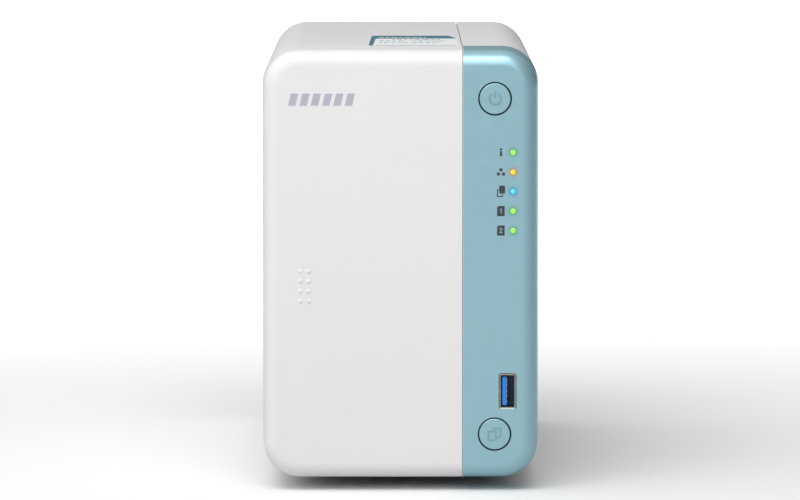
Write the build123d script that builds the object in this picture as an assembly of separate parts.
from build123d import *
from math import cos, radians, sin
import os

# Two-bay desktop network attached storage, in millimetres.
# Origin: middle of the footprint, on the surface the feet stand on.
# +X is to the right of a person facing the unit, -Y is its front, +Z is up.

# ---------------------------------------------------------------- whole body
WIDTH = 105.0
HEIGHT = 168.0
FRONT_Y = -112.6
REAR_Y = 113.0
FOOT_HEIGHT = 4.3
BODY_HEIGHT = HEIGHT - FOOT_HEIGHT
MID_Z = FOOT_HEIGHT + BODY_HEIGHT / 2
CORNER_R = 14.3
WALL = 2.5
INNER_X = WIDTH / 2 - WALL
INNER_TOP = HEIGHT - WALL
INNER_BOTTOM = FOOT_HEIGHT + WALL
TOUCH = 0.05
OVERCUT = 1.0
LARGE = 400.0

# ------------------------------------------------------- seams and front form
SEAM_X = 23.5
SEAM_GAP = 0.36
SEAM_Y = -91.0
SEAM_Y_GAP = 0.3
CASING_FRONT_Y = SEAM_Y + SEAM_Y_GAP
FRONT_TAPER = 2.6
FRONT_FILLET = 5.6
INNER_FILLET = 3.3
REAR_FILLET = 2.0
FRONT_INNER_Y = FRONT_Y + WALL

# ------------------------------------------------------------- casing details
LAP_THICK = 1.0
LAP_X = (20.0, 26.5)
LAP_TOP = 0.1
LAP_START = 8.0
LAP_END_CLEAR = 1.0
LIP_Y = 109.4
LIP_THICK = 1.6
LIP_WIDTH = 2.2
BOSS_R = 3.6
BOSS_X = 44.3
BOSS_Z = 8.2
BOSS_FRONT_Y = 92.0
SCREW_CORE_R = 1.5
VENT_COUNT = 12
VENT_PITCH = 6.5
VENT_START_Y = -52.0
VENT_LENGTH = 34.0
VENT_WIDTH = 2.4
VENT_X = -8.0
FOOT_R = 6.5
FOOT_X = 31.5
FOOT_Y = (-64.0, 92.0)
FOOT_PLUG_R = 2.5
FOOT_CHAMFER = 0.8
LABEL_X = (-12.3, 22.0)
LABEL_Y = (-90.5, -12.0)
LABEL_THICK = 0.2
LABEL_CORNER = 2.2
LABEL_CUT = (2.9, 20.0)
LABEL_LEAN = 0.9

# ---------------------------------------------------------------- front panel
BUTTON_X = 35.6
POWER_Z = 149.1
COPY_Z = 21.9
BUTTON_HOLE_R = 6.4
BUTTON_R = 5.86
BUTTON_EDGE = 0.35
BUTTON_FLANGE_R = 7.6
BUTTON_FLANGE_THICK = 1.2
BUTTON_TRAVEL = 0.8
BUTTON_CLEAR = 0.2
STEM_R = 2.0
STEM_CLEAR = 0.25
SYMBOL_RAISE = 0.22
SYMBOL_LINE = 0.6
POWER_RING_R = 2.45
POWER_BREAK = (2.2, 2.4)
POWER_BAR = 2.5
POWER_BAR_UP = 1.55
SHEET_SYMBOL = (3.3, 3.9)
SHEET_SYMBOL_R = 0.5
SHEET_SHIFT = (0.95, 0.62)
LED_X = 42.45
LED_Z = (128.8, 121.35, 114.0, 106.65, 99.3)
LED_R = 1.05
LED_HOLE_R = 1.1
LENS_SET_BACK = 0.05
LENS_CROWN = 0.3
LENS_COLLAR_R = 1.785
LENS_COLLAR_Y = (0.1, 1.3)
LENS_TO_BOARD = 1.4
LED_BODY = (1.6, 0.8, 1.2)
USB_X = 40.5
USB_Z = 38.25
USB_CUT = (6.7, 13.6)
USB_CUT_R = 0.9
USB_SHELL = (6.1, 13.0)
USB_SHELL_R = (0.5, 0.25)
USB_SHELL_WALL = 0.42
USB_SHELL_BACK = 0.5
USB_MOUTH_IN = 0.4
USB_TONGUE = (1.7, 10.9)
USB_TONGUE_R = 0.3
USB_TONGUE_X = -1.15
USB_TONGUE_IN = 1.2
USB_ROOT = 1.5
USB_ROOT_CLEAR = 0.05
CONTACT_WIDTH = 0.9
CONTACT_PITCH = 2.0
CONTACT_COUNT = 5
CONTACT_THICK = 0.12
CONTACT_IN = 0.8
PANEL_FLANGE = 2.0
PANEL_TO_BEZEL = 0.2
GRIP_X = (-37.9, -34.7)
GRIP_Z = (83.8, 80.0, 76.2, 72.4)
GRIP_R = 0.95
GRIP_HEIGHT = 0.4
TAB_X = (-36.0, 10.0)
TAB_Z = (16.0, 155.0)
TAB_THICK = 2.0
TAB_TALL = 8.0
TAB_END_Y = -93.5
TAB_SLOT = (10.0, 2.0)
TAB_SLOT_CLEAR = 0.6

# -------------------------------------------------- front bezel, front board
BEZEL_HALF = 49.2
BEZEL_INSET = WIDTH / 2 - BEZEL_HALF
BEZEL_Y = (-97.5, -95.0)
BEZEL_RIM_END_Y = -89.0
BEZEL_RIM = 2.0
FBOARD_X = (27.0, 48.5)
FBOARD_Z = (14.0, 158.0)
FBOARD_Y = (-101.0, -99.4)
FBOARD_SCREW_XZ = ((29.5, 135.0), (46.0, 135.0), (29.5, 60.0), (46.0, 60.0))
FBOARD_BOSS_R = 2.6
FBOARD_SCREW = 5.0
SCREW_R = 1.25
SCREW_HEAD_R = 2.4
SCREW_HEAD = 1.6
SWITCH_SIDE = 6.0
SWITCH_DEEP = 3.4
PLUNGER_R = 1.7
PLUNGER_DEEP = 0.65
RIBBON_WINDOW_X = (35.0, 45.0)
RIBBON_WINDOW_CLEAR = 4.0
RIBBON_Z = (84.0, 96.0)
RIBBON_THICK = 0.7
RIBBON_X = 40.0
RIBBON_BENDS = (6.0, 5.0)
RIBBON_BEND_Y = (-82.0, -70.0)
RIBBON_PLUG = (1.6, 6.0)
RIBBON_PLUG_HALF = 2.5
RIBBON_OFF_BOARD = 2.0
RIBBON_ON_BOARD = 3.0

# ------------------------------------------------------------------ drive bays
BAY_X = (-30.625, 4.125)
CAGE_X = (-48.5, 22.0)
CAGE_Y = (-88.5, 58.0)
CAGE_HALF = 62.6
SHEET = 1.0
DIVIDER_X = (-13.75, -12.75)
CAGE_VENTS = 7
CAGE_VENT_START = 20.0
CAGE_VENT_PITCH = 18.0
CAGE_VENT_HALF = (5.5, 34.0)
GUIDE_THICK = 3.0
GUIDE_HALF_WIDTH = 9.0
GUIDE_Y = (-88.0, 40.0)
GROOVE_HALF_WIDTH = 2.6
GROOVE_DEEP = 2.4
TRAY_HALF_WIDTH = 15.8
TRAY_HALF = 58.0
TRAY_FRONT_Y = (-99.5, -96.0)
TRAY_REAR_Y = 50.0
RAIL_INNER = 53.2
RIB_HALF_WIDTH = 2.0
RIB_HIGH = 1.9
TRAY_SIDE = 1.6
RAIL_POCKETS = 5
RAIL_POCKET_PITCH = 28.0
RAIL_POCKET_HALF = 11.0
RAIL_POCKET_START = 16.0
RAIL_SKIN = 1.5
POCKET_EDGE = 2.0
TRAY_WINDOW_HALF = (10.0, 38.0)
TRAY_WINDOW_START = 18.0
CATCH_BELOW_TOP = 4.0
CATCH_HALF = (4.6, 2.4)
MOUTH_CLEAR = 0.7
DRIVE_LONG = 147.0
DRIVE_TALL = 101.6
DRIVE_FRONT_Y = -94.5
DRIVE_X = (-12.9, 13.2)
DRIVE_LID = 1.2
DRIVE_BOARD = 1.6
DRIVE_EDGE_R = 3.0
CLIP_THICK = 2.2
CLIP_HALF_WIDTH = 4.5
CLIP_X = -6.5
CLIP_PIN_R = 1.5
CLIP_PIN_DEEP = 3.0
CLIP_END = 8.0
DRIVE_HOLE_R = 1.7
DRIVE_HOLES = (28.5, 70.1, 130.1)
DRIVE_HOLE_DEEP = 5.0
BOARD_RECESS_START = 50.0
BOARD_RECESS_HALF = 47.0
BOARD_RECESS_CLEAR = 0.4
PLUG_NOTCH_LONG = 9.0
PLUG_NOTCH_CLEAR = 0.5
SPINDLE_FROM_FRONT = 30.0
SPINDLE_R = 12.0
SPINDLE_DEEP = 1.2
LID_EDGE = 1.0
LID_RAISED_INSET = (12.0, 10.0)
LID_RAISED_R = 12.0
DRIVE_PLUG_LONG = 8.6
PLUG_SLOT_DEEP = 6.0
PLUG_SLOT_END = 1.0
LEVER_HALF_WIDTH = 13.6
LEVER_Y = (-106.6, -101.2)
LEVER_TOP = 55.0
LEVER_EDGE = 1.6
LEVER_FOOT = 4.0
LEVER_ABOVE_PIVOT = 1.0
NOTCH_HALF = 7.0
NOTCH_DEEP = 2.2
NOTCH_TALL = 9.0
HOOK_HALF = (4.0, 1.2)
HOOK_REACH = 1.8
PIVOT_Z = -52.0
PIVOT_Y = -102.6
PIN_R = 1.0
PIN_CLEAR = 0.05
LEVER_EYE_R = 2.7
EAR = 1.6
EAR_R = 3.1
SLOT_ROWS = 9
SLOT_PITCH = 9.0
SLOT_HALF_WIDTH = 8.0
SLOT_TALL = 3.0

# -------------------------------------------------------- backplane and board
BACKPLANE_Y = (60.0, 61.6)
BACKPLANE_X = (-46.0, 19.5)
BACKPLANE_Z = (30.0, 141.0)
BACKPLANE_WINDOW_X = (-3.0, 12.0)
BACKPLANE_WINDOW_HALF = 44.0
SATA_Z = (-46.0, -3.0)
SATA_X = (-12.4, -7.0)
SATA_BLADE = (-10.3, -9.5)
SATA_SLOT = (-10.8, -9.0)
SATA_REACH = 4.5
SATA_GAP = 0.6
SATA_BLADE_END = 1.6
LINK_Z = (60.0, 100.0)
LINK_DEEP = 8.0
LINK_OVERLAP = 9.0
PLATE_X = (22.0, 23.0)
PLATE_Y = (-88.0, 107.5)
PLATE_Z = (12.0, 159.0)
PLATE_FOLD_X = 29.0
PLATE_FOLD_Z = (38.0, 122.0)
PLATE_WINDOW_CLEAR = 2.0
PLATE_WINDOW_Y = (-0.6, 9.0)
BOARD_X = (28.0, 29.6)
BOARD_Y = (-62.0, 106.5)
BOARD_Z = (14.0, 157.0)
STANDOFF_R = 2.6
STANDOFF_CORE_FROM = 1.0
BOARD_SCREW = 4.0
STANDOFF_YZ = ((-55.0, 20.0), (-55.0, 151.0), (25.0, 20.0), (25.0, 151.0), (82.0, 20.0), (82.0, 151.0))
CPU_YZ = (-15.0, 52.0)
CPU_SIDE = 24.0
CPU_THICK = 2.0
CPU_PACKAGE = 1.2
CPU_DIE_HALF = (7.0, 6.0)
SINK_YZ = (52.0, 44.0)
SINK_BASE = 3.0
SINK_TOP_X = 46.0
FIN_COUNT = 11
FIN_THICK = 1.2
MEMORY_Y = (-48.8, 18.8)
MEMORY_Z = (92.0, 121.0)
MEMORY_X = (33.2, 38.2)
MODULE_THICK = 1.2
MODULE_CHIP_THICK = 0.9
MODULE_CHIP_HALF = 6.0
MODULE_CHIP_Y = (-38.0, -23.0, -7.0, 8.0)
MODULE_CHIP_Z = (97.0, 109.0)
SOCKET_Y = (-50.5, 20.5)
SOCKET_Z = (118.0, 124.5)
SOCKET_WALL = 2.2
SOCKET_GAP = 0.3
SOCKET_TALL = 6.2
SOCKET_ARM = 1.0
CELL_YZ = (52.0, 42.0)
CELL_R = 10.0
CELL_THICK = 3.2
CELL_CAP = 0.4
CELL_CAP_EDGE = 1.2
HOLDER_WALL = 1.6
HOLDER_HIGH = 3.4
HOLDER_FLOOR = 1.0

# ------------------------------------------------------- rear panel and ports
PANEL_Y = (108.0, 109.0)
PANEL_GAP = 0.4
PANEL_FOLD = 7.0
PANEL_SIDE_FOLD_Z = (30.0, 140.0)
PANEL_END_FOLD_X = (-35.0, 15.0)
PANEL_SCREW = 8.0
FAN_X = -13.0
FAN_Z = 100.0
FAN_SIDE = 70.0
FAN_Y = (83.0, 108.0)
FAN_DUCT_R = 33.4
FAN_HOLE = 30.0
FAN_HOLE_R = 2.1
FAN_CORNER_R = 5.0
FAN_FLANGE = 4.0
FAN_DUCT_WALL = 1.6
FAN_HUB_GAP = 0.6
STRUT_WIDTH = 2.4
STRUT_IN = 1.5
STRUT_ANGLES = (45, 135, 225, 315)
FAN_SCREW = 9.0
HUB_R = 13.0
ROTOR_R = 32.4
ROTOR_Y = (85.0, 102.0)
SHAFT_R = 1.5
SHAFT_BORE = 4.0
SHAFT_LONG = 4.2
HUB_EDGE = 1.5
BLADE_COUNT = 7
BLADE_THICK = 1.5
BLADE_SECTIONS = ((12.0, 13.0, 50.0), (22.0, 17.0, 40.0), (33.4, 20.0, 32.0))
FAN_CABLE_R = 1.2
FAN_CABLE_BENDS = (9.0, 6.0)
FAN_CABLE_TOP = 161.6
FAN_CABLE_START = (10.0, 87.0)
FAN_CABLE_END = (37.0, 70.0)
FAN_PLUG_TOP = 146.0
FAN_PLUG = (10.4, 4.2, 8.0)
GRILLE_R = 33.0
HEX_R = 2.35
HEX_GAP = 1.0
GRILLE_CELLS = (17, 17)
VENT_CELLS = (6, 11)
VENT_FIELD_X = (-42.0, 14.0)
VENT_FIELD_Z = (26.0, 50.0)
PORT_Z = {"usb_upper": 128.0, "usb_lower": 106.0, "lan": 82.0, "video": 58.0, "power": 32.0, "reset": 147.0}
STACK_SIZE = (16.0, 14.2)
STACK_Y = (91.5, 109.3)
STACK_X = (4.4, 11.6)
STACK_MOUTH = (5.4, 12.6)
STACK_MOUTH_R = 0.3
STACK_BACK = 2.0
STACK_ROOT = 2.0
STACK_ROOT_CLEAR = 0.2
STACK_TONGUE_X = 0.9
STACK_TONGUE_IN = 1.2
LAN_SIZE = (13.6, 16.2)
LAN_Y = (88.0, 109.3)
LAN_MOUTH = (8.2, 11.8)
LAN_DEEP = 13.5
LAN_MOUTH_SHIFT = 1.0
LAN_LATCH = (1.6, 3.1)
VIDEO_SIZE = (6.2, 15.2)
VIDEO_Y = (98.0, 109.3)
VIDEO_DEEP = 9.0
VIDEO_MOUTH_HALF = (1.9, 6.9)
VIDEO_SLANT = (1.5, 1.7)
VIDEO_TONGUE_HALF = (0.5, 5.0)
VIDEO_TONGUE_IN = 1.5
POWER_SIZE = (11.0, 9.4)
POWER_Y = (95.0, 109.3)
POWER_BORE_R = 3.2
POWER_PIN_R = 1.05
POWER_DEEP = 9.5
POWER_PIN_IN = 1.0
PORT_CLEAR = 0.25
PORT_SIZES = {
    "usb_upper": STACK_SIZE,
    "usb_lower": STACK_SIZE,
    "lan": LAN_SIZE,
    "video": VIDEO_SIZE,
    "power": POWER_SIZE,
}
RESET_X = 36.0
RESET_R = 1.3
RESET_HOLE_R = 1.6
RESET_COLLAR_R = 2.2
RESET_COLLAR_Y = (106.6, 107.6)
RESET_TIP_Y = 104.6
RESET_SWITCH_Y = (98.0, 102.6)
RESET_SWITCH_HALF = 3.0
RESET_PLUNGER_Y = 103.6
LOCK_XZ = (-38.0, 18.0)
LOCK_SIZE = (7.0, 3.0)
LOCK_R = 1.0
PLATE_SCREW_XZ = ((26.0, 44.0), (26.0, 116.0))


# ------------------------------------------------------------------- helpers
def block(x_span, y_span, z_span):
    """Box between the low and high value on each axis."""
    size = [high - low for low, high in (x_span, y_span, z_span)]
    centre = [(low + high) / 2 for low, high in (x_span, y_span, z_span)]
    return Pos(*centre) * Box(*size)


def about(centre, half):
    """Span reaching half each way from a centre."""
    return (centre - half, centre + half)


def front_plane(y):
    """Plane facing -Y whose local axes are the object's X and Z."""
    return Plane(origin=(0, y, 0), x_dir=(1, 0, 0), z_dir=(0, -1, 0))


def prism(sketch, y_span):
    """Sketch in X and Z made solid between two Y values."""
    return extrude(front_plane(y_span[1]) * sketch, amount=y_span[1] - y_span[0])


def rod_y(x, z, radius, y_span):
    """Cylinder along Y."""
    return prism(Pos(x, z) * Circle(radius), y_span)


def rod_x(y, z, radius, x_span):
    """Cylinder along X."""
    length = x_span[1] - x_span[0]
    centre = (x_span[0] + x_span[1]) / 2
    return Pos(centre, y, z) * Rot(0, 90, 0) * Cylinder(radius, length)


def rod_z(x, y, radius, z_span):
    """Cylinder along Z."""
    return Pos(x, y, (z_span[0] + z_span[1]) / 2) * Cylinder(radius, z_span[1] - z_span[0])


def body_outline(inset):
    """Rounded outline of the body, shrunk by inset."""
    sketch = RectangleRounded(WIDTH - 2 * inset, BODY_HEIGHT - 2 * inset, CORNER_R - inset)
    return Pos(0, MID_Z) * sketch


def joined(shapes):
    """Union of a list of solids."""
    result = shapes[0]
    for shape in shapes[1:]:
        result = result + shape
    return result


def screw_y(x, z, y_head, y_tip, head_side):
    """Pan-head screw along Y. head_side is -1 when the head is nearer the front."""
    head_end = y_head + head_side * SCREW_HEAD
    head = rod_y(x, z, SCREW_HEAD_R, sorted((y_head, head_end)))
    rim = head.faces().sort_by(Axis.Y)[0 if head_side < 0 else -1].edges()
    head = fillet(rim, SCREW_HEAD * 0.55)
    recess_depth = SCREW_HEAD * 0.7
    recess_span = sorted((head_end, head_end - head_side * recess_depth))
    arm = block(about(x, SCREW_HEAD_R * 0.6), recess_span, about(z, SCREW_HEAD_R * 0.14))
    cross = block(about(x, SCREW_HEAD_R * 0.14), recess_span, about(z, SCREW_HEAD_R * 0.6))
    return head - arm - cross + rod_y(x, z, SCREW_R, sorted((y_head, y_tip)))


# --------------------------------------------------------------- outer casing
def casing_sleeve():
    """Both casing halves before they are parted along the seam."""
    outer = prism(body_outline(0), (CASING_FRONT_Y, REAR_Y))
    outer = fillet(outer.faces().sort_by(Axis.Y)[-1].edges(), REAR_FILLET)
    hollow = prism(body_outline(WALL), (CASING_FRONT_Y, REAR_Y))
    lip_span = (LIP_Y, LIP_Y + LIP_THICK)
    lip = prism(body_outline(WALL - TOUCH), lip_span) - prism(body_outline(WALL + LIP_WIDTH), lip_span)
    sleeve = outer - hollow + lip
    for x in (-BOSS_X, BOSS_X):
        for z in (FOOT_HEIGHT + BOSS_Z, HEIGHT - BOSS_Z):
            sleeve = sleeve + rod_y(x, z, BOSS_R, (BOSS_FRONT_Y, PANEL_Y[0]))
            sleeve = sleeve - rod_y(x, z, SCREW_CORE_R, (BOSS_FRONT_Y + OVERCUT, REAR_Y))
            sleeve = sleeve - rod_y(x, z, SCREW_HEAD_R + PANEL_GAP, (PANEL_Y[1], REAR_Y))
    for x in (-FOOT_X, FOOT_X):
        for y in FOOT_Y:
            sleeve = sleeve - rod_z(x, y, FOOT_PLUG_R, (FOOT_HEIGHT, INNER_BOTTOM))
    return sleeve


def left_casing(sleeve):
    """White casing half with the seam lap, the bottom vents and the label's recess."""
    half = sleeve & block((-LARGE, SEAM_X - SEAM_GAP / 2), (-LARGE, LARGE), (-LARGE, LARGE))
    lap_y = (CASING_FRONT_Y + LAP_START, PANEL_Y[0] - PANEL_FOLD - LAP_END_CLEAR)
    high = INNER_TOP - LAP_TOP
    low = INNER_BOTTOM + LAP_TOP
    for z_span, root in (((high - LAP_THICK, high), INNER_TOP), ((low, low + LAP_THICK), INNER_BOTTOM)):
        half = half + block(LAP_X, lap_y, z_span)
        root_span = sorted((root, z_span[0]))
        half = half + block((LAP_X[0], SEAM_X - SEAM_GAP / 2), lap_y, root_span)
    for index in range(VENT_COUNT):
        y = VENT_START_Y + index * VENT_PITCH
        slot = Plane.XY * Pos(VENT_X, y) * SlotOverall(VENT_LENGTH, VENT_WIDTH)
        half = half - Pos(0, 0, FOOT_HEIGHT) * extrude(slot, amount=WALL)
    return half - label_form(LABEL_THICK)


def right_casing(sleeve):
    """White casing half behind the front strip."""
    return sleeve & block((SEAM_X + SEAM_GAP / 2, LARGE), (-LARGE, LARGE), (-LARGE, LARGE))


def label_form(depth):
    """Sheet in the top of the left casing: its left edge leans and its far right corner is cut."""
    (left, right), (front, back) = LABEL_X, LABEL_Y
    corners = [
        (left, front),
        (right, front),
        (right, back - LABEL_CUT[1]),
        (right - LABEL_CUT[0], back),
        (left + LABEL_LEAN, back),
    ]
    sheet = make_face(Polyline(*corners, close=True))
    sheet = fillet(sheet.vertices(), LABEL_CORNER)
    return Pos(0, 0, HEIGHT - depth) * extrude(sheet, amount=depth)


def rubber_feet():
    """Four feet, each a disc with a plug in the casing's hole."""
    feet = []
    for x in (-FOOT_X, FOOT_X):
        for y in FOOT_Y:
            disc = rod_z(x, y, FOOT_R, (0, FOOT_HEIGHT))
            disc = chamfer(disc.faces().sort_by(Axis.Z)[0].edges(), FOOT_CHAMFER)
            feet.append(disc + rod_z(x, y, FOOT_PLUG_R, (FOOT_HEIGHT, INNER_BOTTOM)))
    return feet


# --------------------------------------------------------------- front pieces
def front_form(inset, face_y, edge_radius):
    """Tapered block whose front edge is rounded."""
    form = extrude(front_plane(SEAM_Y) * body_outline(inset), amount=SEAM_Y - face_y, taper=FRONT_TAPER)
    return fillet(form.faces().sort_by(Axis.Y)[0].edges(), edge_radius)


def front_shell():
    """Hollow front of the body, before the cover and the panel are parted."""
    return front_form(0, FRONT_Y, FRONT_FILLET) - front_form(WALL, FRONT_INNER_Y, INNER_FILLET)


def front_cover(shell):
    """White cover with its grip dots and its four locating tabs."""
    cover = shell & block((-LARGE, SEAM_X - SEAM_GAP / 2), (-LARGE, LARGE), (-LARGE, LARGE))
    dome_r = (GRIP_R ** 2 + GRIP_HEIGHT ** 2) / (2 * GRIP_HEIGHT)
    for x in GRIP_X:
        for z in GRIP_Z:
            cover = cover + Pos(x, FRONT_Y - GRIP_HEIGHT + dome_r, z) * Sphere(dome_r)
    for x in TAB_X:
        for z in TAB_Z:
            tab_y = (FRONT_INNER_Y - TOUCH, TAB_END_Y)
            cover = cover + block(about(x, TAB_THICK / 2), tab_y, about(z, TAB_TALL / 2))
    return cover


def front_panel(shell):
    """Coloured strip with its button, light and port openings, and a flange along the seam."""
    left = SEAM_X + SEAM_GAP / 2
    panel = shell & block((left, LARGE), (-LARGE, LARGE), (-LARGE, LARGE))
    flange = block((left, left + PANEL_FLANGE), (FRONT_Y, BEZEL_Y[0] - PANEL_TO_BEZEL), (-LARGE, LARGE))
    panel = panel + (flange & front_form(TOUCH, FRONT_Y + TOUCH, FRONT_FILLET))
    through = (FRONT_Y - OVERCUT, FRONT_INNER_Y + OVERCUT)
    for z in (POWER_Z, COPY_Z):
        panel = panel - rod_y(BUTTON_X, z, BUTTON_HOLE_R, through)
    for z in LED_Z:
        panel = panel - rod_y(LED_X, z, LED_HOLE_R, through)
    port = Pos(USB_X, USB_Z) * RectangleRounded(*USB_CUT, USB_CUT_R)
    return panel - prism(port, through)


def power_symbol():
    """Broken ring with a bar through its gap."""
    ring = Circle(POWER_RING_R) - Circle(POWER_RING_R - SYMBOL_LINE)
    gap = Pos(0, POWER_RING_R) * Rectangle(*POWER_BREAK)
    bar = Pos(0, POWER_BAR_UP) * Rectangle(SYMBOL_LINE, POWER_BAR)
    return ring - gap + fillet(bar.vertices(), SYMBOL_LINE / 3)


def copy_symbol():
    """Outlines of two overlapping sheets, the nearer one lower and to the left."""
    width, tall = SHEET_SYMBOL
    sheet = RectangleRounded(width, tall, SHEET_SYMBOL_R)
    hole = RectangleRounded(width - 2 * SYMBOL_LINE, tall - 2 * SYMBOL_LINE, SHEET_SYMBOL_R / 3)
    margin = RectangleRounded(width + SYMBOL_LINE, tall + SYMBOL_LINE, SHEET_SYMBOL_R)
    near = Pos(-SHEET_SHIFT[0], -SHEET_SHIFT[1])
    far = Pos(*SHEET_SHIFT)
    return far * (sheet - hole) - near * margin + near * (sheet - hole)


def button(z, symbol):
    """Round button: cap with a raised symbol, retaining flange and stem."""
    flange_y = (FRONT_INNER_Y + BUTTON_CLEAR, FRONT_INNER_Y + BUTTON_CLEAR + BUTTON_FLANGE_THICK)
    cap = rod_y(BUTTON_X, z, BUTTON_R, (FRONT_Y, flange_y[0] + TOUCH))
    cap = fillet(cap.faces().sort_by(Axis.Y)[0].edges(), BUTTON_EDGE)
    flange = rod_y(BUTTON_X, z, BUTTON_FLANGE_R, flange_y)
    plunger_tip = FBOARD_Y[0] - SWITCH_DEEP - PLUNGER_DEEP
    stem = rod_y(BUTTON_X, z, STEM_R, (flange_y[1] - TOUCH, plunger_tip - BUTTON_TRAVEL - STEM_CLEAR))
    raised = prism(Pos(BUTTON_X, z) * symbol, (FRONT_Y - SYMBOL_RAISE, FRONT_Y + TOUCH))
    return cap + flange + stem + raised


def status_lenses():
    """Five light pipes, each with a retaining collar behind the panel."""
    pipes = []
    pipe_y = (FRONT_Y + LENS_SET_BACK, FBOARD_Y[0] - LENS_TO_BOARD)
    collar_y = (FRONT_INNER_Y + LENS_COLLAR_Y[0], FRONT_INNER_Y + LENS_COLLAR_Y[1])
    for z in LED_Z:
        pipe = rod_y(LED_X, z, LED_R, pipe_y)
        pipe = fillet(pipe.faces().sort_by(Axis.Y)[0].edges(), LENS_CROWN)
        pipes.append(pipe + rod_y(LED_X, z, LENS_COLLAR_R, collar_y))
    return pipes


def usb_inner_size():
    """Width and height inside the front port's shell."""
    return [side - 2 * USB_SHELL_WALL for side in USB_SHELL]


def front_usb_shell():
    """Front port's steel tube, closed at its inner end, its mouth just behind the panel's face."""
    y_span = (FRONT_Y + USB_MOUTH_IN, FBOARD_Y[0])
    outer = Pos(USB_X, USB_Z) * RectangleRounded(*USB_SHELL, USB_SHELL_R[0])
    inner = Pos(USB_X, USB_Z) * RectangleRounded(*usb_inner_size(), USB_SHELL_R[1])
    return prism(outer, y_span) - prism(inner, (y_span[0], y_span[1] - USB_SHELL_BACK))


def front_usb_tongue():
    """Plastic tongue with its rear insulator block."""
    root_y = (FBOARD_Y[0] - USB_SHELL_BACK - USB_ROOT, FBOARD_Y[0] - USB_SHELL_BACK)
    size = [side - 2 * USB_ROOT_CLEAR for side in usb_inner_size()]
    root = prism(Pos(USB_X, USB_Z) * Rectangle(*size), root_y)
    blade = Pos(USB_X + USB_TONGUE_X, USB_Z) * RectangleRounded(*USB_TONGUE, USB_TONGUE_R)
    return root + prism(blade, (FRONT_Y + USB_TONGUE_IN, root_y[0] + TOUCH))


def front_usb_contacts():
    """Gold strips on the open side of the tongue."""
    face_x = USB_X + USB_TONGUE_X + USB_TONGUE[0] / 2
    y_span = (FRONT_Y + USB_TONGUE_IN + CONTACT_IN, FBOARD_Y[0] - USB_SHELL_BACK - USB_ROOT)
    strips = []
    for index in range(CONTACT_COUNT):
        z = USB_Z + (index - (CONTACT_COUNT - 1) / 2) * CONTACT_PITCH
        strips.append(block((face_x, face_x + CONTACT_THICK), y_span, about(z, CONTACT_WIDTH / 2)))
    return strips


# ------------------------------------------------- front bezel and front board
def front_bezel():
    """Plastic frame with two bay mouths, tab slots, a cable window and board bosses."""
    plate = prism(body_outline(BEZEL_INSET), BEZEL_Y)
    rim_span = (BEZEL_Y[1] - TOUCH, BEZEL_RIM_END_Y)
    rim = prism(body_outline(BEZEL_INSET), rim_span) - prism(body_outline(BEZEL_INSET + BEZEL_RIM), rim_span)
    bezel = plate + rim
    for bay_x in BAY_X:
        mouth = about(bay_x, TRAY_HALF_WIDTH + MOUTH_CLEAR)
        bezel = bezel - block(mouth, BEZEL_Y, about(MID_Z, TRAY_HALF + MOUTH_CLEAR))
        rib = about(bay_x, RIB_HALF_WIDTH + MOUTH_CLEAR)
        bezel = bezel - block(rib, BEZEL_Y, about(MID_Z, TRAY_HALF + RIB_HIGH + MOUTH_CLEAR))
    for x in TAB_X:
        for z in TAB_Z:
            slot_x = (x - TAB_SLOT[0], x + TAB_SLOT[1])
            bezel = bezel - block(slot_x, BEZEL_Y, about(z, TAB_TALL / 2 + TAB_SLOT_CLEAR))
    window_z = (RIBBON_Z[0] - RIBBON_WINDOW_CLEAR, RIBBON_Z[1] + RIBBON_WINDOW_CLEAR)
    bezel = bezel - block(RIBBON_WINDOW_X, BEZEL_Y, window_z)
    for x, z in FBOARD_SCREW_XZ:
        bezel = bezel + rod_y(x, z, FBOARD_BOSS_R, (FBOARD_Y[1], BEZEL_Y[0] + TOUCH))
        bezel = bezel - rod_y(x, z, SCREW_R, (FBOARD_Y[1], BEZEL_Y[1]))
    return bezel


def front_board():
    """Circuit board behind the front panel."""
    board = block(FBOARD_X, FBOARD_Y, FBOARD_Z)
    for x, z in FBOARD_SCREW_XZ:
        board = board - rod_y(x, z, SCREW_R, FBOARD_Y)
    return board


def status_leds():
    """Five surface-mounted light emitters behind the lenses."""
    wide, deep, tall = LED_BODY
    y_span = (FBOARD_Y[0] - deep, FBOARD_Y[0])
    return [block(about(LED_X, wide / 2), y_span, about(z, tall / 2)) for z in LED_Z]


def push_switch(x, z):
    """Square push switch with its round plunger."""
    half = SWITCH_SIDE / 2
    face_y = FBOARD_Y[0] - SWITCH_DEEP
    body = block(about(x, half), (face_y, FBOARD_Y[0]), about(z, half))
    return body + rod_y(x, z, PLUNGER_R, (face_y - PLUNGER_DEEP, face_y + TOUCH))


def button_switches():
    """One push switch behind each front button."""
    return [push_switch(BUTTON_X, z) for z in (POWER_Z, COPY_Z)]


# ------------------------------------------------------------------ drive cage
def cage_vents(wall):
    """Cuts the row of upright vents through a wall of the cage."""
    for index in range(CAGE_VENTS):
        y = CAGE_Y[0] + CAGE_VENT_START + index * CAGE_VENT_PITCH
        wall = wall - block((-LARGE, LARGE), about(y, CAGE_VENT_HALF[0]), about(MID_Z, CAGE_VENT_HALF[1]))
    return wall


def drive_cage():
    """Folded steel box around both bays, with side vents."""
    cage = block(CAGE_X, CAGE_Y, about(MID_Z, CAGE_HALF))
    inner_x = (CAGE_X[0] + SHEET, CAGE_X[1] - SHEET)
    return cage_vents(cage - block(inner_x, CAGE_Y, about(MID_Z, CAGE_HALF - SHEET)))


def cage_divider():
    """Steel wall between the bays."""
    return cage_vents(block(DIVIDER_X, CAGE_Y, about(MID_Z, CAGE_HALF - SHEET)))


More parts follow.
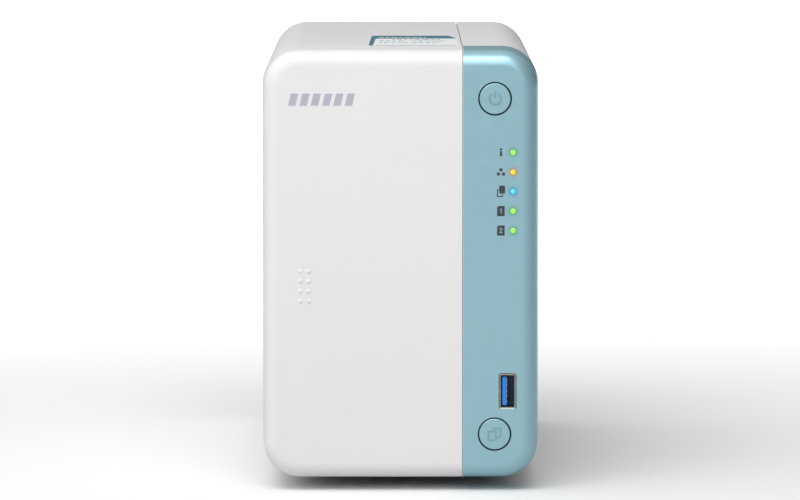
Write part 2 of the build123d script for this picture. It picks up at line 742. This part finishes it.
def bay_guides():
    """Grooved plastic strips above and below each bay."""
    guides = []
    for bay_x in BAY_X:
        for side in (-1, 1):
            outer = MID_Z + side * (CAGE_HALF - SHEET)
            inner = outer - side * GUIDE_THICK
            groove = inner + side * GROOVE_DEEP
            strip = block(about(bay_x, GUIDE_HALF_WIDTH), GUIDE_Y, sorted((outer, inner)))
            guides.append(strip - block(about(bay_x, GROOVE_HALF_WIDTH), GUIDE_Y, sorted((inner, groove))))
    return guides


# ----------------------------------------------------------------- drive trays
def tray_rail(side):
    """Upper or lower rail: its sliding rib and a row of pockets."""
    rail_y = (TRAY_FRONT_Y[1] - TOUCH, TRAY_REAR_Y)
    rail = block(about(0, TRAY_HALF_WIDTH), rail_y, sorted((side * RAIL_INNER, side * TRAY_HALF)))
    rib_z = sorted((side * (TRAY_HALF - TOUCH), side * (TRAY_HALF + RIB_HIGH)))
    rail = rail + block(about(0, RIB_HALF_WIDTH), (BEZEL_Y[0], TRAY_REAR_Y), rib_z)
    pocket_x = (RIB_HALF_WIDTH + POCKET_EDGE, TRAY_HALF_WIDTH - POCKET_EDGE)
    pocket_z = sorted((side * (RAIL_INNER + RAIL_SKIN), side * (TRAY_HALF + RIB_HIGH)))
    for index in range(RAIL_POCKETS):
        y = rail_y[0] + RAIL_POCKET_START + index * RAIL_POCKET_PITCH
        rail = rail - block(pocket_x, about(y, RAIL_POCKET_HALF), pocket_z)
    return rail


def tray_side():
    """Side wall with air windows that joins the rails."""
    rail_y = (TRAY_FRONT_Y[1] - TOUCH, TRAY_REAR_Y)
    wall = block((-TRAY_HALF_WIDTH, -TRAY_HALF_WIDTH + TRAY_SIDE), rail_y, about(0, RAIL_INNER + TOUCH))
    for index in range(RAIL_POCKETS):
        y = rail_y[0] + TRAY_WINDOW_START + index * RAIL_POCKET_PITCH
        wall = wall - block((-LARGE, 0), about(y, TRAY_WINDOW_HALF[0]), about(0, TRAY_WINDOW_HALF[1]))
    return wall


def slot_heights():
    """Middle heights of the air slots in the tray's front and in the lever."""
    return [(index - (SLOT_ROWS - 1) / 2) * SLOT_PITCH for index in range(SLOT_ROWS)]


def tray_frame():
    """Tray at the origin bay: front plate with ears, two ribbed rails and one open side wall."""
    frame = block(about(0, TRAY_HALF_WIDTH), TRAY_FRONT_Y, about(0, TRAY_HALF)) + tray_side()
    for side in (-1, 1):
        frame = frame + tray_rail(side) + ear(side)
    for z in slot_heights():
        frame = frame - block(about(0, SLOT_HALF_WIDTH), TRAY_FRONT_Y, about(z, SLOT_TALL / 2))
    catch_z = about(LEVER_TOP - CATCH_BELOW_TOP, CATCH_HALF[1])
    catch = block(about(0, CATCH_HALF[0]), TRAY_FRONT_Y, catch_z)
    return frame - catch - rod_x(PIVOT_Y, PIVOT_Z, PIN_R, (-LARGE, LARGE))


def ear(side):
    """Lug that holds one end of the lever's pin."""
    x_span = sorted((side * (TRAY_HALF_WIDTH - EAR), side * TRAY_HALF_WIDTH))
    nose = rod_x(PIVOT_Y, PIVOT_Z, EAR_R, x_span)
    return nose + block(x_span, (PIVOT_Y, TRAY_FRONT_Y[0] + TOUCH), about(PIVOT_Z, EAR_R))


def tray_lever():
    """Front lever: slotted plate with a pivot eye at its foot, a finger notch and a catch."""
    across = about(0, LEVER_HALF_WIDTH)
    plate = block(across, LEVER_Y, (PIVOT_Z + LEVER_ABOVE_PIVOT, LEVER_TOP))
    plate = fillet(plate.faces().sort_by(Axis.Y)[0].edges(), LEVER_EDGE)
    eye = rod_x(PIVOT_Y, PIVOT_Z, LEVER_EYE_R, across)
    foot = block(across, (PIVOT_Y - LEVER_EYE_R, PIVOT_Y), (PIVOT_Z, PIVOT_Z + LEVER_FOOT))
    lever = plate + eye + foot
    for z in slot_heights():
        lever = lever - block(about(0, SLOT_HALF_WIDTH), (-LARGE, LARGE), about(z, SLOT_TALL / 2))
    notch_y = (LEVER_Y[0], LEVER_Y[0] + NOTCH_DEEP)
    lever = lever - block(about(0, NOTCH_HALF), notch_y, (LEVER_TOP - NOTCH_TALL, LEVER_TOP))
    hook_y = (LEVER_Y[1] - TOUCH, TRAY_FRONT_Y[0] + HOOK_REACH)
    lever = lever + block(about(0, HOOK_HALF[0]), hook_y, about(LEVER_TOP - CATCH_BELOW_TOP, HOOK_HALF[1]))
    return lever - rod_x(PIVOT_Y, PIVOT_Z, PIN_R + PIN_CLEAR, (-LARGE, LARGE))


def lever_pin():
    """Steel pin through both ears and the lever's eye."""
    return rod_x(PIVOT_Y, PIVOT_Z, PIN_R, about(0, TRAY_HALF_WIDTH))


def drive_clips():
    """Two strips with pins in the drive's mounting holes."""
    clips = []
    for side in (-1, 1):
        span = sorted((side * DRIVE_TALL / 2, side * (DRIVE_TALL / 2 + CLIP_THICK)))
        y_span = (DRIVE_FRONT_Y + DRIVE_HOLES[0] - CLIP_END, DRIVE_FRONT_Y + DRIVE_HOLES[2] + CLIP_END)
        strip = block(about(CLIP_X, CLIP_HALF_WIDTH), y_span, span)
        pin_span = sorted((side * (DRIVE_TALL / 2 + TOUCH), side * (DRIVE_TALL / 2 - CLIP_PIN_DEEP)))
        for offset in (DRIVE_HOLES[0], DRIVE_HOLES[2]):
            strip = strip + rod_z(CLIP_X, DRIVE_FRONT_Y + offset, CLIP_PIN_R, pin_span)
        clips.append(strip)
    return clips


def drive_base():
    """Cast drive body with a board recess, a connector notch and side holes."""
    y_span = (DRIVE_FRONT_Y, DRIVE_FRONT_Y + DRIVE_LONG)
    base = block((DRIVE_X[0], DRIVE_X[1] - DRIVE_LID), y_span, about(0, DRIVE_TALL / 2))
    base = fillet(base.edges().filter_by(Axis.X), DRIVE_EDGE_R)
    recess_x = (DRIVE_X[0], DRIVE_X[0] + DRIVE_BOARD + BOARD_RECESS_CLEAR)
    recess_y = (DRIVE_FRONT_Y + BOARD_RECESS_START, y_span[1])
    base = base - block(recess_x, recess_y, about(0, BOARD_RECESS_HALF))
    notch_x = (DRIVE_X[0], SATA_X[1] + BOARD_RECESS_CLEAR)
    notch_z = (SATA_Z[0] - PLUG_NOTCH_CLEAR, SATA_Z[1] + PLUG_NOTCH_CLEAR)
    base = base - block(notch_x, (y_span[1] - PLUG_NOTCH_LONG, y_span[1]), notch_z)
    spindle_x = (DRIVE_X[0], DRIVE_X[0] + SPINDLE_DEEP)
    base = base - rod_x(DRIVE_FRONT_Y + SPINDLE_FROM_FRONT, 0, SPINDLE_R, spindle_x)
    for offset in DRIVE_HOLES:
        for side in (-1, 1):
            hole_z = sorted((side * DRIVE_TALL / 2, side * (DRIVE_TALL / 2 - DRIVE_HOLE_DEEP)))
            base = base - rod_z(CLIP_X, DRIVE_FRONT_Y + offset, DRIVE_HOLE_R, hole_z)
    return base


def drive_lid():
    """Flat lid with a raised middle, on the drive's open side."""
    y_span = (DRIVE_FRONT_Y + LID_EDGE, DRIVE_FRONT_Y + DRIVE_LONG - LID_EDGE)
    lid_x = (DRIVE_X[1] - DRIVE_LID, DRIVE_X[1] - DRIVE_LID / 2)
    lid = block(lid_x, y_span, about(0, DRIVE_TALL / 2 - LID_EDGE))
    lid = fillet(lid.edges().filter_by(Axis.X), DRIVE_EDGE_R)
    raised_y = (y_span[0] + LID_RAISED_INSET[0], y_span[1] - LID_RAISED_INSET[1])
    raised_z = about(0, DRIVE_TALL / 2 - LID_RAISED_INSET[1])
    raised = block((lid_x[1] - TOUCH, DRIVE_X[1]), raised_y, raised_z)
    return lid + fillet(raised.edges().filter_by(Axis.X), LID_RAISED_R)


def drive_board():
    """Drive's circuit board with its slotted connector block."""
    y_end = DRIVE_FRONT_Y + DRIVE_LONG
    board_y = (DRIVE_FRONT_Y + BOARD_RECESS_START + PLUG_NOTCH_CLEAR, y_end - PLUG_NOTCH_CLEAR)
    board_z = about(0, BOARD_RECESS_HALF - PLUG_NOTCH_CLEAR)
    board = block((DRIVE_X[0], DRIVE_X[0] + DRIVE_BOARD), board_y, board_z)
    plug = block((DRIVE_X[0], SATA_X[1]), (y_end - DRIVE_PLUG_LONG, y_end), SATA_Z)
    slot_z = (SATA_Z[0] + PLUG_SLOT_END, SATA_Z[1] - PLUG_SLOT_END)
    return board + plug - block(SATA_SLOT, (y_end - PLUG_SLOT_DEEP, y_end), slot_z)


# -------------------------------------------------------- backplane, main board
def backplane_board():
    """Upright board behind the bays, with air windows."""
    board = block(BACKPLANE_X, BACKPLANE_Y, BACKPLANE_Z)
    for bay_x in BAY_X:
        window_x = (bay_x + BACKPLANE_WINDOW_X[0], bay_x + BACKPLANE_WINDOW_X[1])
        board = board - block(window_x, BACKPLANE_Y, about(MID_Z, BACKPLANE_WINDOW_HALF))
    return board


def drive_sockets():
    """One drive socket per bay, each with a blade in the drive's connector."""
    sockets = []
    drive_end = DRIVE_FRONT_Y + DRIVE_LONG
    for bay_x in BAY_X:
        x_span = (bay_x + SATA_X[0], bay_x + SATA_X[1])
        z_span = (MID_Z + SATA_Z[0], MID_Z + SATA_Z[1])
        body = block(x_span, (drive_end + SATA_GAP, BACKPLANE_Y[0]), z_span)
        blade_x = (bay_x + SATA_BLADE[0], bay_x + SATA_BLADE[1])
        blade_y = (drive_end - SATA_REACH, drive_end + SATA_GAP + TOUCH)
        blade_z = (z_span[0] + SATA_BLADE_END, z_span[1] - SATA_BLADE_END)
        sockets.append(body + block(blade_x, blade_y, blade_z))
    return sockets


def backplane_link():
    """Connector between the backplane and the main board, through the board plate."""
    x_span = (BACKPLANE_X[1] - LINK_OVERLAP, BOARD_X[0])
    return block(x_span, (BACKPLANE_Y[1], BACKPLANE_Y[1] + LINK_DEEP), LINK_Z)


def board_plate():
    """Steel wall that carries the main board, with a folded rear edge."""
    plate = block(PLATE_X, PLATE_Y, PLATE_Z)
    plate = plate + block((PLATE_X[0], PLATE_FOLD_X), (PLATE_Y[1] - SHEET / 2, PANEL_Y[0]), PLATE_FOLD_Z)
    window_y = (BACKPLANE_Y[1] + PLATE_WINDOW_Y[0], BACKPLANE_Y[1] + PLATE_WINDOW_Y[1])
    window_z = (LINK_Z[0] - PLATE_WINDOW_CLEAR, LINK_Z[1] + PLATE_WINDOW_CLEAR)
    plate = plate - block(PLATE_X, window_y, window_z)
    for x, z in PLATE_SCREW_XZ:
        plate = plate - rod_y(x, z, SCREW_R, (PLATE_Y[1] - OVERCUT, PANEL_Y[0]))
    return plate


def main_board():
    """Main circuit board."""
    board = block(BOARD_X, BOARD_Y, BOARD_Z)
    for y, z in STANDOFF_YZ:
        board = board - rod_x(y, z, SCREW_R, BOARD_X)
    return board


def board_standoffs():
    """Threaded spacers between the board plate and the main board."""
    posts = []
    for y, z in STANDOFF_YZ:
        post = rod_x(y, z, STANDOFF_R, (PLATE_X[1], BOARD_X[0]))
        posts.append(post - rod_x(y, z, SCREW_R, (PLATE_X[1] + STANDOFF_CORE_FROM, BOARD_X[0])))
    return posts


def board_screws():
    """Screws of the main board and of the front board."""
    screws = []
    for y, z in STANDOFF_YZ:
        head = rod_x(y, z, SCREW_HEAD_R, (BOARD_X[1], BOARD_X[1] + SCREW_HEAD))
        head = fillet(head.faces().sort_by(Axis.X)[-1].edges(), SCREW_HEAD / 2)
        screws.append(head + rod_x(y, z, SCREW_R, (BOARD_X[1] - BOARD_SCREW, BOARD_X[1])))
    for x, z in FBOARD_SCREW_XZ:
        screws.append(screw_y(x, z, FBOARD_Y[0], FBOARD_Y[0] + FBOARD_SCREW, -1))
    return screws


def processor():
    """Processor package with its smaller raised die."""
    y_mid, z_mid = CPU_YZ
    half = CPU_SIDE / 2
    package = block((BOARD_X[1], BOARD_X[1] + CPU_PACKAGE), about(y_mid, half), about(z_mid, half))
    die_x = (BOARD_X[1] + CPU_PACKAGE - TOUCH, BOARD_X[1] + CPU_THICK)
    return package + block(die_x, about(y_mid, CPU_DIE_HALF[0]), about(z_mid, CPU_DIE_HALF[1]))


def heatsink():
    """Finned block on the processor."""
    y_mid, z_mid = CPU_YZ
    y_half, z_half = SINK_YZ[0] / 2, SINK_YZ[1] / 2
    root_x = BOARD_X[1] + CPU_THICK
    sink = block((root_x, root_x + SINK_BASE), about(y_mid, y_half), about(z_mid, z_half))
    for index in range(FIN_COUNT):
        z = z_mid - z_half + FIN_THICK / 2 + index * (2 * z_half - FIN_THICK) / (FIN_COUNT - 1)
        fin = block((root_x + SINK_BASE - TOUCH, SINK_TOP_X), about(y_mid, y_half), about(z, FIN_THICK / 2))
        sink = sink + fin
    return sink


def memory_modules():
    """Two modules side by side, parallel to the main board."""
    modules = []
    for x in MEMORY_X:
        module = block((x, x + MODULE_THICK), MEMORY_Y, MEMORY_Z)
        chip_x = (x + MODULE_THICK - TOUCH, x + MODULE_THICK + MODULE_CHIP_THICK)
        chips = [block(chip_x, about(y, MODULE_CHIP_HALF), MODULE_CHIP_Z) for y in MODULE_CHIP_Y]
        modules.append(joined([module] + chips))
    return modules


def memory_sockets():
    """Edge sockets of the two modules, the outer one stepped over the inner one."""
    inner_x, outer_x = MEMORY_X
    step_z = SOCKET_Z[1] + SOCKET_GAP
    low = block((BOARD_X[1], inner_x + SOCKET_WALL), SOCKET_Y, SOCKET_Z)
    high = block((BOARD_X[1], outer_x + SOCKET_WALL), SOCKET_Y, (step_z, step_z + SOCKET_TALL))
    arm = block((outer_x - SOCKET_ARM, outer_x + SOCKET_WALL), SOCKET_Y, (SOCKET_Z[0], step_z + TOUCH))
    slots = [block((x, x + MODULE_THICK), MEMORY_Y, MEMORY_Z) for x in MEMORY_X]
    return [low - slots[0], high + arm - slots[1]]


def coin_cell_holder():
    """Round holder with a raised edge."""
    y, z = CELL_YZ
    top_x = BOARD_X[1] + HOLDER_HIGH
    dish = rod_x(y, z, CELL_R + HOLDER_WALL, (BOARD_X[1], top_x))
    return dish - rod_x(y, z, CELL_R, (BOARD_X[1] + HOLDER_FLOOR, top_x))


def coin_cell():
    """Button cell in its holder."""
    y, z = CELL_YZ
    low_x = BOARD_X[1] + HOLDER_FLOOR
    cell = rod_x(y, z, CELL_R, (low_x, low_x + CELL_THICK - CELL_CAP))
    return cell + rod_x(y, z, CELL_R - CELL_CAP_EDGE, (low_x, low_x + CELL_THICK))


# ------------------------------------------------------------- fan and cables
def fan_frame():
    """Square frame with a round duct, corner holes, four struts and the bearing hub."""
    outer = Pos(FAN_X, FAN_Z) * RectangleRounded(FAN_SIDE, FAN_SIDE, FAN_CORNER_R)
    frame = prism(outer, FAN_Y) - rod_y(FAN_X, FAN_Z, FAN_DUCT_R, FAN_Y)
    waist_y = (FAN_Y[0] + FAN_FLANGE, FAN_Y[1] - FAN_FLANGE)
    frame = frame - (prism(outer, waist_y) - rod_y(FAN_X, FAN_Z, FAN_DUCT_R + FAN_DUCT_WALL, waist_y))
    hub_y = (ROTOR_Y[1] + FAN_HUB_GAP, FAN_Y[1] - FAN_HUB_GAP)
    frame = frame + rod_y(FAN_X, FAN_Z, HUB_R, hub_y)
    arm_size = (FAN_DUCT_R - HUB_R + FAN_DUCT_WALL, STRUT_WIDTH)
    arm = Pos((HUB_R + FAN_DUCT_R) / 2, 0) * Rectangle(*arm_size)
    for angle in STRUT_ANGLES:
        frame = frame + prism(Pos(FAN_X, FAN_Z) * Rot(0, 0, angle) * arm, (hub_y[0] + STRUT_IN, hub_y[1]))
    for x in about(FAN_X, FAN_HOLE):
        for z in about(FAN_Z, FAN_HOLE):
            frame = frame - rod_y(x, z, FAN_HOLE_R, FAN_Y)
    return frame - rod_y(FAN_X, FAN_Z, SHAFT_R + TOUCH, (hub_y[0], hub_y[0] + SHAFT_BORE))


def fan_blade():
    """One twisted blade, reaching outwards along +X of its own frame."""
    sections = []
    for radius, chord, pitch in BLADE_SECTIONS:
        along = (0, cos(radians(pitch)), sin(radians(pitch)))
        plane = Plane(origin=(radius, 0, 0), x_dir=along, z_dir=(1, 0, 0))
        sections.append(plane * Rectangle(chord, BLADE_THICK))
    return loft(sections)


def fan_rotor():
    """Hub cup with swept blades and the shaft."""
    y_mid = (ROTOR_Y[0] + ROTOR_Y[1]) / 2
    hub = rod_y(FAN_X, FAN_Z, HUB_R, ROTOR_Y)
    rotor = fillet(hub.faces().sort_by(Axis.Y)[0].edges(), HUB_EDGE)
    blade = fan_blade() & Cylinder(ROTOR_R, ROTOR_Y[1] - ROTOR_Y[0] - OVERCUT)
    for index in range(BLADE_COUNT):
        turned = Rot(0, 0, index * 360 / BLADE_COUNT) * blade
        rotor = rotor + Pos(FAN_X, y_mid, FAN_Z) * Rot(90, 0, 0) * turned
    return rotor + rod_y(FAN_X, FAN_Z, SHAFT_R, (ROTOR_Y[1] - TOUCH, ROTOR_Y[1] + SHAFT_LONG))


def fan_screws():
    """Four screws through the rear panel into the fan's corners."""
    screws = []
    tip_y = PANEL_Y[1] - FAN_SCREW
    for x in about(FAN_X, FAN_HOLE):
        for z in about(FAN_Z, FAN_HOLE):
            screw = screw_y(x, z, PANEL_Y[1], tip_y, 1)
            screws.append(screw + rod_y(x, z, FAN_HOLE_R, (tip_y, PANEL_Y[0] - TOUCH)))
    return screws


def tube_path(points, radii, radius):
    """Round tube along straight runs joined by tangent arcs."""
    path = FilletPolyline(*points, radius=radii)
    start = Plane(origin=path @ 0, z_dir=path % 0)
    return sweep(start * Circle(radius), path=path)


def fan_cable():
    """Lead from the fan over the board plate to its plug on the main board."""
    points = (
        (*FAN_CABLE_START, FAN_Z + FAN_SIDE / 2),
        (*FAN_CABLE_START, FAN_CABLE_TOP),
        (*FAN_CABLE_END, FAN_CABLE_TOP),
        (*FAN_CABLE_END, FAN_PLUG_TOP),
    )
    high, half, tall = FAN_PLUG
    plug_z = (FAN_PLUG_TOP - tall, FAN_PLUG_TOP)
    plug = block((BOARD_X[1], BOARD_X[1] + high), about(FAN_CABLE_END[1], half), plug_z)
    return tube_path(points, list(FAN_CABLE_BENDS), FAN_CABLE_R) + plug


def front_cable():
    """Flat cable from the front board to the main board, with a plug at each end."""
    board_x = BOARD_X[1] + RIBBON_OFF_BOARD
    y_start = FBOARD_Y[1] + RIBBON_PLUG[0]
    y_end = BOARD_Y[0] + RIBBON_ON_BOARD
    mid_z = sum(RIBBON_Z) / 2
    points = (
        (RIBBON_X, y_start, mid_z),
        (RIBBON_X, RIBBON_BEND_Y[0], mid_z),
        (board_x, RIBBON_BEND_Y[1], mid_z),
        (board_x, y_end, mid_z),
    )
    path = FilletPolyline(*points, radius=list(RIBBON_BENDS))
    start = Plane(origin=path @ 0, x_dir=(1, 0, 0), z_dir=path % 0)
    ribbon = sweep(start * Rectangle(RIBBON_THICK, RIBBON_Z[1] - RIBBON_Z[0]), path=path)
    plug_z = (RIBBON_Z[0] - OVERCUT, RIBBON_Z[1] + OVERCUT)
    front_plug = block(about(RIBBON_X, RIBBON_PLUG_HALF), (FBOARD_Y[1], y_start + TOUCH), plug_z)
    rear_x = (BOARD_X[1], board_x + RIBBON_OFF_BOARD)
    rear_plug = block(rear_x, (y_end - TOUCH, y_end + RIBBON_PLUG[1]), plug_z)
    return ribbon + front_plug + rear_plug


# ------------------------------------------------------- rear panel and ports
def port_box(name, size, y_span, clear=0.0):
    """Outer form of a rear port, standing on the main board."""
    x_span = (BOARD_X[1] - clear, BOARD_X[1] + size[0] + clear)
    return block(x_span, y_span, about(PORT_Z[name], size[1] / 2 + clear))


def hex_field(radius, rows, columns):
    """Honeycomb of holes around the local origin."""
    spots = HexLocations(radius + HEX_GAP / 2, columns, rows)
    return [Pos(spot.position.X, spot.position.Y) * RegularPolygon(radius, 6) for spot in spots]


def grille_holes():
    """Honeycomb behind the fan and a second field below it."""
    holes = []
    for cell in hex_field(HEX_R, *GRILLE_CELLS):
        centre = cell.center()
        if centre.length < GRILLE_R - HEX_R:
            holes.append(Pos(FAN_X, FAN_Z) * cell)
    field_x = sum(VENT_FIELD_X) / 2
    field_z = sum(VENT_FIELD_Z) / 2
    for cell in hex_field(HEX_R, *VENT_CELLS):
        holes.append(Pos(field_x, field_z) * cell)
    return holes


def rear_folds():
    """Four edges of the rear panel folded forwards."""
    side_x = INNER_X - PANEL_GAP
    low_z = INNER_BOTTOM + PANEL_GAP
    high_z = INNER_TOP - PANEL_GAP
    fold_y = (PANEL_Y[0] - PANEL_FOLD, PANEL_Y[0] + TOUCH)
    return [
        block((-side_x, -side_x + SHEET), fold_y, PANEL_SIDE_FOLD_Z),
        block((side_x - SHEET, side_x), fold_y, PANEL_SIDE_FOLD_Z),
        block(PANEL_END_FOLD_X, fold_y, (low_z, low_z + SHEET)),
        block(PANEL_END_FOLD_X, fold_y, (high_z - SHEET, high_z)),
    ]


def rear_panel():
    """Steel rear wall: folded edges, grille, port cut-outs, lock slot and screw holes."""
    panel = joined([prism(body_outline(WALL + PANEL_GAP), PANEL_Y)] + rear_folds())
    panel = panel - prism(Sketch() + grille_holes(), PANEL_Y)
    for name, size in PORT_SIZES.items():
        panel = panel - port_box(name, size, PANEL_Y, PORT_CLEAR)
    panel = panel - rod_y(RESET_X, PORT_Z["reset"], RESET_HOLE_R, PANEL_Y)
    panel = panel - prism(Pos(*LOCK_XZ) * RectangleRounded(*LOCK_SIZE, LOCK_R), PANEL_Y)
    fan_holes = [(x, z) for x in about(FAN_X, FAN_HOLE) for z in about(FAN_Z, FAN_HOLE)]
    for x, z in panel_screw_places() + fan_holes:
        panel = panel - rod_y(x, z, SCREW_R, PANEL_Y)
    return panel


def panel_screw_places():
    """Centres of the screws into the casing bosses and the board plate."""
    corners = [(x, z) for x in (-BOSS_X, BOSS_X) for z in (FOOT_HEIGHT + BOSS_Z, HEIGHT - BOSS_Z)]
    return corners + list(PLATE_SCREW_XZ)


def rear_screws():
    """Screws of the rear panel."""
    return [screw_y(x, z, PANEL_Y[1], PANEL_Y[1] - PANEL_SCREW, 1) for x, z in panel_screw_places()]


def stack_centres(name):
    """Centres of the two mouths of a rear USB stack."""
    return [(BOARD_X[1] + x, PORT_Z[name]) for x in STACK_X]


def rear_usb_shells():
    """Two steel stacks of two mouths each."""
    shells = []
    for name in ("usb_upper", "usb_lower"):
        stack = port_box(name, STACK_SIZE, STACK_Y)
        for x, z in stack_centres(name):
            mouth = Pos(x, z) * RectangleRounded(*STACK_MOUTH, STACK_MOUTH_R)
            stack = stack - prism(mouth, (STACK_Y[0] + STACK_BACK, STACK_Y[1]))
        shells.append(stack)
    return shells


def rear_usb_tongues():
    """Plastic tongues in the rear mouths."""
    tongues = []
    root_y = (STACK_Y[0] + STACK_BACK, STACK_Y[0] + STACK_BACK + STACK_ROOT)
    blade_y = (root_y[1] - TOUCH, STACK_Y[1] - STACK_TONGUE_IN)
    root_size = [side - STACK_ROOT_CLEAR for side in STACK_MOUTH]
    for x, z in stack_centres("usb_upper") + stack_centres("usb_lower"):
        root = prism(Pos(x, z) * Rectangle(*root_size), root_y)
        blade = block(about(x + STACK_TONGUE_X, USB_TONGUE[0] / 2), blade_y, about(z, USB_TONGUE[1] / 2))
        tongues.append(root + blade)
    return tongues


def lan_port():
    """Network socket: shielded block with a stepped mouth."""
    z = PORT_Z["lan"]
    x_mid = BOARD_X[1] + LAN_SIZE[0] / 2
    mouth_y = (LAN_Y[1] - LAN_DEEP, LAN_Y[1])
    mouth_x = about(x_mid - LAN_MOUTH_SHIFT, LAN_MOUTH[0] / 2)
    body = port_box("lan", LAN_SIZE, LAN_Y) - block(mouth_x, mouth_y, about(z, LAN_MOUTH[1] / 2))
    return body - block((mouth_x[1] - TOUCH, mouth_x[1] + LAN_LATCH[0]), mouth_y, about(z, LAN_LATCH[1]))


def video_port():
    """Video socket: steel mouth with two slanted corners and a centre tongue."""
    z = PORT_Z["video"]
    x_mid = BOARD_X[1] + VIDEO_SIZE[0] / 2
    half_x, half_z = VIDEO_MOUTH_HALF
    slant_x, slant_z = VIDEO_SLANT
    points = [
        (-half_x, -half_z),
        (half_x - slant_x, -half_z),
        (half_x, -half_z + slant_z),
        (half_x, half_z - slant_z),
        (half_x - slant_x, half_z),
        (-half_x, half_z),
    ]
    mouth = Pos(x_mid, z) * make_face(Polyline(*points, close=True))
    back_y = VIDEO_Y[1] - VIDEO_DEEP
    body = port_box("video", VIDEO_SIZE, VIDEO_Y) - prism(mouth, (back_y, VIDEO_Y[1]))
    tongue_y = (back_y - TOUCH, VIDEO_Y[1] - VIDEO_TONGUE_IN)
    return body + block(about(x_mid, VIDEO_TONGUE_HALF[0]), tongue_y, about(z, VIDEO_TONGUE_HALF[1]))


def dc_inlet():
    """Round power inlet with its centre pin."""
    x_mid = BOARD_X[1] + POWER_SIZE[0] / 2
    z = PORT_Z["power"]
    back_y = POWER_Y[1] - POWER_DEEP
    body = port_box("power", POWER_SIZE, POWER_Y) - rod_y(x_mid, z, POWER_BORE_R, (back_y, POWER_Y[1]))
    return body + rod_y(x_mid, z, POWER_PIN_R, (back_y - TOUCH, POWER_Y[1] - POWER_PIN_IN))


def reset_button():
    """Small button in the rear panel with its collar."""
    z = PORT_Z["reset"]
    cap = rod_y(RESET_X, z, RESET_R, (RESET_TIP_Y, PANEL_Y[1]))
    return cap + rod_y(RESET_X, z, RESET_COLLAR_R, RESET_COLLAR_Y)


def reset_switch():
    """Push switch in front of the reset button, on the main board."""
    z = PORT_Z["reset"]
    x_span = (BOARD_X[1], RESET_X + RESET_SWITCH_HALF)
    body = block(x_span, RESET_SWITCH_Y, about(z, RESET_SWITCH_HALF))
    return body + rod_y(RESET_X, z, RESET_R, (RESET_SWITCH_Y[1] - TOUCH, RESET_PLUNGER_Y))


# ---------------------------------------------------------------- whole object
def bay_pieces(number):
    """Named pieces of one bay, moved from the origin bay to their place."""
    place = Pos(BAY_X[number - 1], 0, MID_Z)
    pieces = {
        f"tray_{number}_frame": [tray_frame()],
        f"tray_{number}_lever": [tray_lever()],
        f"tray_{number}_lever_pin": [lever_pin()],
        f"tray_{number}_clips": drive_clips(),
        f"drive_{number}_base": [drive_base()],
        f"drive_{number}_lid": [drive_lid()],
        f"drive_{number}_board": [drive_board()],
    }
    return {name: [place * solid for solid in solids] for name, solids in pieces.items()}


def all_pieces():
    """Every node's name and solids."""
    sleeve = casing_sleeve()
    shell = front_shell()
    pieces = {
        "left_casing": [left_casing(sleeve)],
        "right_casing": [right_casing(sleeve)],
        "front_cover": [front_cover(shell)],
        "front_panel": [front_panel(shell)],
        "power_button": [button(POWER_Z, power_symbol())],
        "copy_button": [button(COPY_Z, copy_symbol())],
        "status_lenses": status_lenses(),
        "front_usb_shell": [front_usb_shell()],
        "front_usb_tongue": [front_usb_tongue()],
        "front_usb_contacts": front_usb_contacts(),
        "front_bezel": [front_bezel()],
        "front_board": [front_board()],
        "status_leds": status_leds(),
        "button_switches": button_switches(),
        "rubber_feet": rubber_feet(),
        "top_label": [label_form(LABEL_THICK)],
        "drive_cage": [drive_cage()],
        "cage_divider": [cage_divider()],
        "bay_guides": bay_guides(),
        "backplane_board": [backplane_board()],
        "drive_sockets": drive_sockets(),
        "backplane_link": [backplane_link()],
        "board_plate": [board_plate()],
        "main_board": [main_board()],
        "board_standoffs": board_standoffs(),
        "board_screws": board_screws(),
        "processor": [processor()],
        "heatsink": [heatsink()],
        "memory_modules": memory_modules(),
        "memory_sockets": memory_sockets(),
        "coin_cell_holder": [coin_cell_holder()],
        "coin_cell": [coin_cell()],
        "fan_frame": [fan_frame()],
        "fan_rotor": [fan_rotor()],
        "fan_screws": fan_screws(),
        "fan_cable": [fan_cable()],
        "front_cable": [front_cable()],
        "rear_panel": [rear_panel()],
        "rear_screws": rear_screws(),
        "rear_usb_shells": rear_usb_shells(),
        "rear_usb_tongues": rear_usb_tongues(),
        "lan_port": [lan_port()],
        "video_port": [video_port()],
        "dc_inlet": [dc_inlet()],
        "reset_button": [reset_button()],
        "reset_switch": [reset_switch()],
    }
    for number in (1, 2):
        pieces.update(bay_pieces(number))
    return pieces


os.makedirs("parts", exist_ok=True)
for node, solids in all_pieces().items():
    export_step(Compound(children=list(solids)), f"parts/{node}.step")
